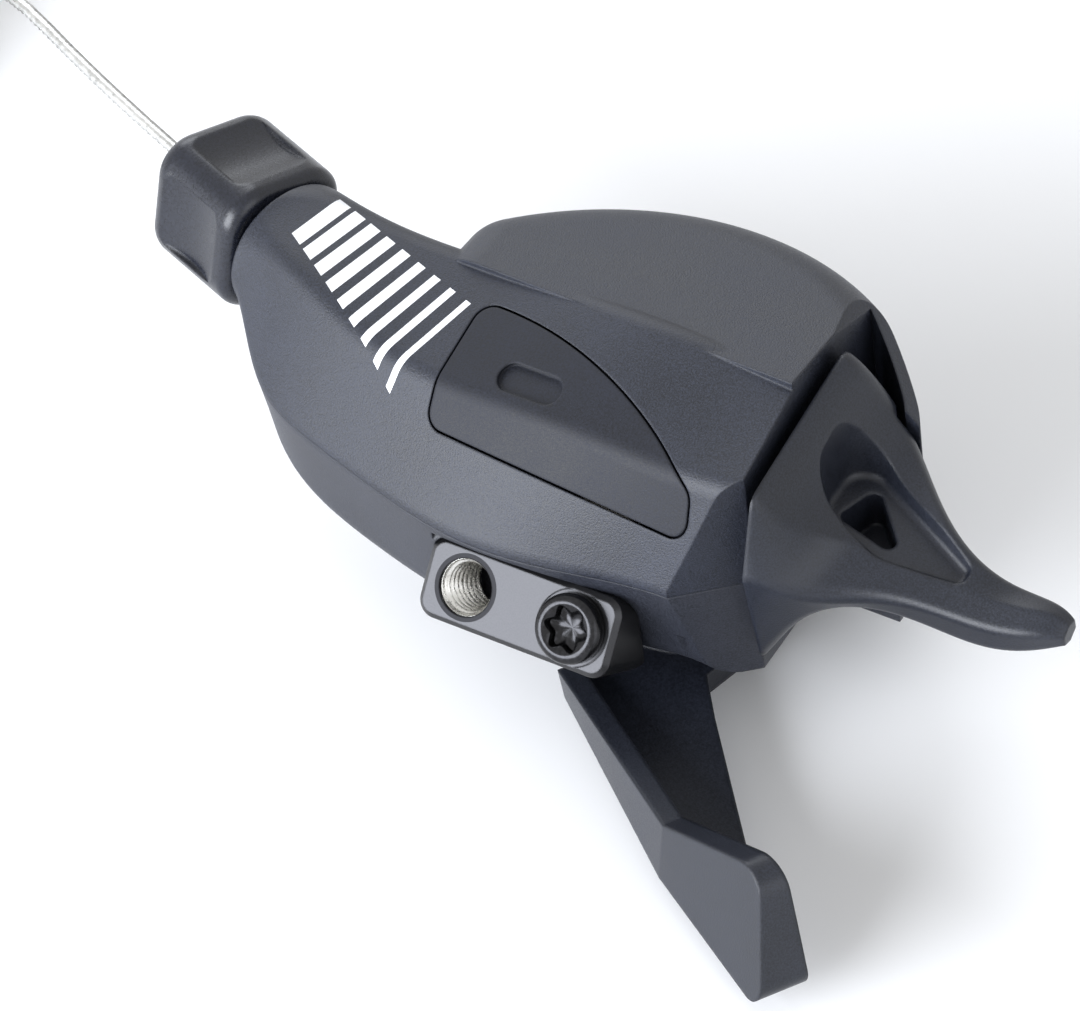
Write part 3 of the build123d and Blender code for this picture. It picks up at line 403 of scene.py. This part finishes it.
def rimShadeMask(tree, place, radius):
    # painted shade round the tapped hole: points nearer its axis than a radius, where the distance from the
    # axis is the length of what is left of a point square to that axis
    n = tree.nodes.new("ShaderNodeVectorMath")
    n.operation = 'CROSS_PRODUCT'
    tree.links.new(place, n.inputs[0])
    n.inputs[1].default_value = padAxis
    size = tree.nodes.new("ShaderNodeVectorMath")
    size.operation = 'LENGTH'
    tree.links.new(n.outputs["Vector"], size.inputs[0])
    return mathOf(tree, 'LESS_THAN', size.outputs["Value"], radius * mm)


bracketMat, tree, place, colour, shader = grainedFinish("blackAnodised", bracketSet)
# painted shade: a near-black ring on the pad round the tapped hole's rim
ring = rimShadeMask(tree, place, bracketSet["ringR"])
tree.links.new(blendColour(tree, ring, colour, bracketSet["rimShadeColour"]), shader.inputs["Base Color"])
dress("mount_bracket", bracketMat)

threadSet = {"wallR": 2.485, "majorR": 2.47, "minorR": 2.08, "pitch": 0.8, "mouth": -0.35, "depth": -7.2,
             "perTurn": 10, "cols": 72, "crestGain": 1.5, "crestCut": 0.25, "fadePitches": 0.7}


def threadSurface(s):
    # a sleeve with a thread inside: the radius swings between its two bounds once in every pitch, shifted by
    # the turn about the axis; the rows at the mouth fade out to the wall, and two plain rows go back outside
    rows = int((s["mouth"] - s["depth"]) / s["pitch"] * s["perTurn"])
    h = np.linspace(s["depth"], s["mouth"], rows)[:, None]
    a = np.arange(s["cols"])[None, :] / s["cols"]
    wave = np.abs(((h / s["pitch"] + a) % 1.0) * 2 - 1)
    wave = np.clip(wave * s["crestGain"] - s["crestCut"], 0, 1)
    fade = np.clip((s["mouth"] - h) / (s["fadePitches"] * s["pitch"]), 0, 1)
    radius = s["majorR"] - (s["majorR"] - s["minorR"]) * wave * fade
    radius = np.vstack([radius, np.full((2, s["cols"]), s["wallR"])])
    height = np.broadcast_to(np.vstack([h, [[s["mouth"]], [s["depth"]]]]), radius.shape)
    return turnedSurface(radius, height, (0, 0, 0), padAlong, padUp, padAxis, ring=True)


threadFinish = {"colour": (0.62, 0.61, 0.58), "speckle": 0.08, "grain": 0.3, "cloud": 3.0,
                "rough": (0.22, 0.34), "height": 0.01, "bump": 0.2, "metal": 1.0, "edge": 0.05}
clampThread = meshPiece("clampThread", *threadSurface(threadSet))
clampThread.data.materials.append(grainedFinish("cutThread", threadFinish)[0])
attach(clampThread, "housing")

boltSet = {
    "centre": (10.5, 0.0, 0.0), "seat": -0.1, "top": 1.5, "tip": -8.5, "cols": 96,    # heights over the pad
    "headR": 3.05, "rimR": 2.2, "brim": 0.75, "bendRows": 9, "skirt": 0.3, "edgeCut": 0.1,
    "starMean": 1.72, "starWave": 0.27, "starLobes": 6, "starDepth": 1.25,
    "cone": (0.95, 0.05, 0.35),                 # radius, and depth at its edge and at its middle
    "starFoot": [(0.985, 0.0), (1.0, 0.1)],     # share of the star's radius, height over its floor
    "starMouth": [(1.0, 0.28), (1.02, 0.18)],   # the same share, depth under the top
    "rim": [(0.97, 0.04), (1.0, 0.0)],          # share of the rim's radius, depth under the top
    "shankR": 1.98, "pitch": 0.7, "rowsPerPitch": 6, "threadDepth": 0.3, "neck": 0.4, "runOut": 0.5,
    "point": (1.4, 0.2), "poleR": 0.02,         # radius and height of the tip's bevel
}


def boltSurface(s):
    # profile turned about the screw's axis, from the socket's middle out over the domed head and down the
    # shank; the socket's radius waves six times round, and the shank's swings once in every pitch
    a = np.arange(s["cols"]) * 2 * np.pi / s["cols"]
    star = s["starMean"] + s["starWave"] * np.cos(s["starLobes"] * a)
    flat = np.ones(s["cols"])
    low = s["top"] - s["starDepth"]
    coneR, coneEdge, coneMiddle = s["cone"]
    rows = [(flat * s["poleR"], low - coneMiddle), (coneR * (star / star.max()), low - coneEdge)]
    rows += [(star * share, low + rise) for share, rise in s["starFoot"]]
    rows += [(star * share, s["top"] - drop) for share, drop in s["starMouth"]]
    rows += [(flat * s["rimR"] * share, s["top"] - drop) for share, drop in s["rim"]]
    for b in np.linspace(0, np.pi / 2, s["bendRows"])[1:]:
        rows.append((flat * (s["rimR"] + (s["headR"] - s["rimR"]) * np.sin(b)),
                     s["brim"] + (s["top"] - s["brim"]) * np.cos(b)))
    rows += [(flat * s["headR"], s["brim"] - s["skirt"]), (flat * s["headR"], s["seat"] + s["edgeCut"]),
             (flat * (s["headR"] - s["edgeCut"]), s["seat"]), (flat * s["shankR"], s["seat"])]
    for h in np.arange(s["seat"] - s["neck"], s["tip"] + s["runOut"], -s["pitch"] / s["rowsPerPitch"]):
        wave = np.abs(((h / s["pitch"] + a / (2 * np.pi)) % 1.0) * 2 - 1)
        rows.append((s["shankR"] - s["threadDepth"] * wave, h))
    rows += [(flat * s["point"][0], s["tip"] + s["point"][1]), (flat * s["poleR"], s["tip"])]
    radius = np.array([r for r, h in rows])
    height = np.array([np.full(s["cols"], h) for r, h in rows])
    return turnedSurface(radius, height, s["centre"], padAlong, padUp, padAxis)


boltFinish = {"colour": (0.030, 0.030, 0.032), "speckle": 0.2, "grain": 0.3, "cloud": 2.0,
              "rough": (0.16, 0.28), "height": 0.008, "bump": 0.2, "metal": 0.9, "edge": 0.1}
starScrew = meshPiece("starScrew", *boltSurface(boltSet))
starScrew.data.materials.append(grainedFinish("blackScrew", boltFinish)[0])
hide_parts("bracket_bolt")
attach(starScrew, "housing")
print("bracket, thread and screw finished")


# inner parts

innerFinishes = {
    "groundSteel": ({"colour": (0.50, 0.50, 0.49), "speckle": 0.10, "grain": 0.4, "cloud": 3.0,
                     "rough": (0.22, 0.36), "height": 0.008, "bump": 0.2, "metal": 1.0, "edge": 0.15},
                    ["main_axle", "drive_pawl_pin", "hold_pawl_pin", "release_pin", "cover_screw_1",
                     "cover_screw_2", "cover_screw_3", "gear_cable_run", "cable_end"]),
    "hardSteel": ({"colour": (0.24, 0.235, 0.225), "speckle": 0.2, "grain": 0.3, "cloud": 2.5,
                   "rough": (0.34, 0.52), "height": 0.015, "bump": 0.3, "metal": 1.0, "edge": 0.15},
                  ["ratchet_wheel", "drive_pawl", "hold_pawl"]),
    "springWire": ({"colour": (0.36, 0.35, 0.33), "speckle": 0.15, "grain": 0.3, "cloud": 2.0,
                    "rough": (0.25, 0.4), "height": 0.008, "bump": 0.2, "metal": 1.0, "edge": 0.05},
                   ["spool_return_spring", "drive_pawl_spring", "hold_pawl_spring", "pull_return_spring",
                    "release_spring", "adjuster_detent_spring"]),
    "nylonSpool": ({"colour": (0.50, 0.49, 0.46), "speckle": 0.10, "grain": 0.5, "cloud": 4.0,
                    "rough": (0.42, 0.56), "height": 0.02, "bump": 0.3, "edge": 0.25}, ["cable_spool"]),
    "washerPolymer": ({"colour": (0.055, 0.055, 0.055), "speckle": 0.2, "grain": 0.4, "cloud": 3.0,
                       "rough": (0.45, 0.6), "height": 0.01, "bump": 0.3, "edge": 0.1},
                      ["axle_washer", "thrust_washer"]),
    "turnedStem": ({"colour": (0.62, 0.60, 0.56), "speckle": 0.08, "grain": 0.3, "cloud": 3.0,
                    "rough": (0.2, 0.34), "height": 0.01, "bump": 0.25, "metal": 1.0, "edge": 0.15},
                   ["adjuster_stem"]),
    "tieStrap": ({"colour": (0.022, 0.022, 0.023), "speckle": 0.25, "grain": 0.3, "cloud": 2.0,
                  "rough": (0.38, 0.52), "height": 0.015, "bump": 0.3, "edge": 0.2}, ["coil_tie"]),
}
for name, (finish, which) in innerFinishes.items():
    inner = grainedFinish(name, finish)[0]
    for node in which:
        dress(node, inner)
print("inner parts finished")


# floor, light and background

stageSet = {
    "floorSize": 3.0, "floorGap": 0.05, "floor": (0.97, 0.97, 0.97), "floorRough": 0.9, "floorSpecular": 0.1,
    "world": 0.55, "lampColour": (0.90, 0.935, 1.0),
    "lamps": [                                  # name, direction from the part, distance, size, watts
        ("rearSoft", (-0.42, -0.87, 0.25), 0.9, (0.9, 0.8), 25.0),
        ("frontSoft", (-0.62, 0.60, 0.50), 1.1, (0.6, 0.6), 4.0),
        ("outerSoft", (0.85, -0.25, 0.35), 1.0, (0.6, 0.8), 2.0),
    ],
}


def studio(s):
    # a wide pale floor just under the part, soft lamps that face it, and an even pale surround
    half = s["floorSize"] / 2
    low = cadBox[0][2] - s["floorGap"] * mm
    corners = np.array([(-half, -half, low), (half, -half, low), (half, half, low), (-half, half, low)])
    floor = meshPiece("paleFloor", corners, [[0, 1, 2, 3]], False)
    mat, _, shader = newMaterial("palePaper")
    shader.inputs["Roughness"].default_value = s["floorRough"]
    shader.inputs["Specular IOR Level"].default_value = s["floorSpecular"]
    shader.inputs["Base Color"].default_value = (*s["floor"], 1.0)
    floor.data.materials.append(mat)
    for name, way, far, size, power in s["lamps"]:
        data = bpy.data.lights.new(name, 'AREA')
        data.shape = 'RECTANGLE'
        data.size, data.size_y = size
        data.energy = power
        data.color = s["lampColour"]
        lamp = bpy.data.objects.new(name, data)
        scene.collection.objects.link(lamp)
        to = np.array(way) / np.linalg.norm(way)
        side = np.cross((0, 0, 1), to)
        side /= np.linalg.norm(side)
        turn = np.eye(4)
        turn[:3, :4] = np.column_stack([side, np.cross(to, side), to, to * far])
        lamp.matrix_world = Matrix(turn.tolist())
    world = bpy.data.worlds.new("paleSurround")
    world.use_nodes = True
    wt = world.node_tree
    back = wt.nodes["Background"]
    rays = wt.nodes.new("ShaderNodeLightPath")
    seen = mathOf(wt, 'MAXIMUM', rays.outputs["Is Camera Ray"], rays.outputs["Is Glossy Ray"])
    seen = mathOf(wt, 'MAXIMUM', seen, rays.outputs["Is Transmission Ray"])
    wt.links.new(spread(wt, seen, s["world"], 1.0, 0.0, 1.0), back.inputs["Strength"])
    back.inputs["Color"].default_value = (1.0, 1.0, 1.0, 1.0)
    scene.world = world


studio(stageSet)
print("studio set")
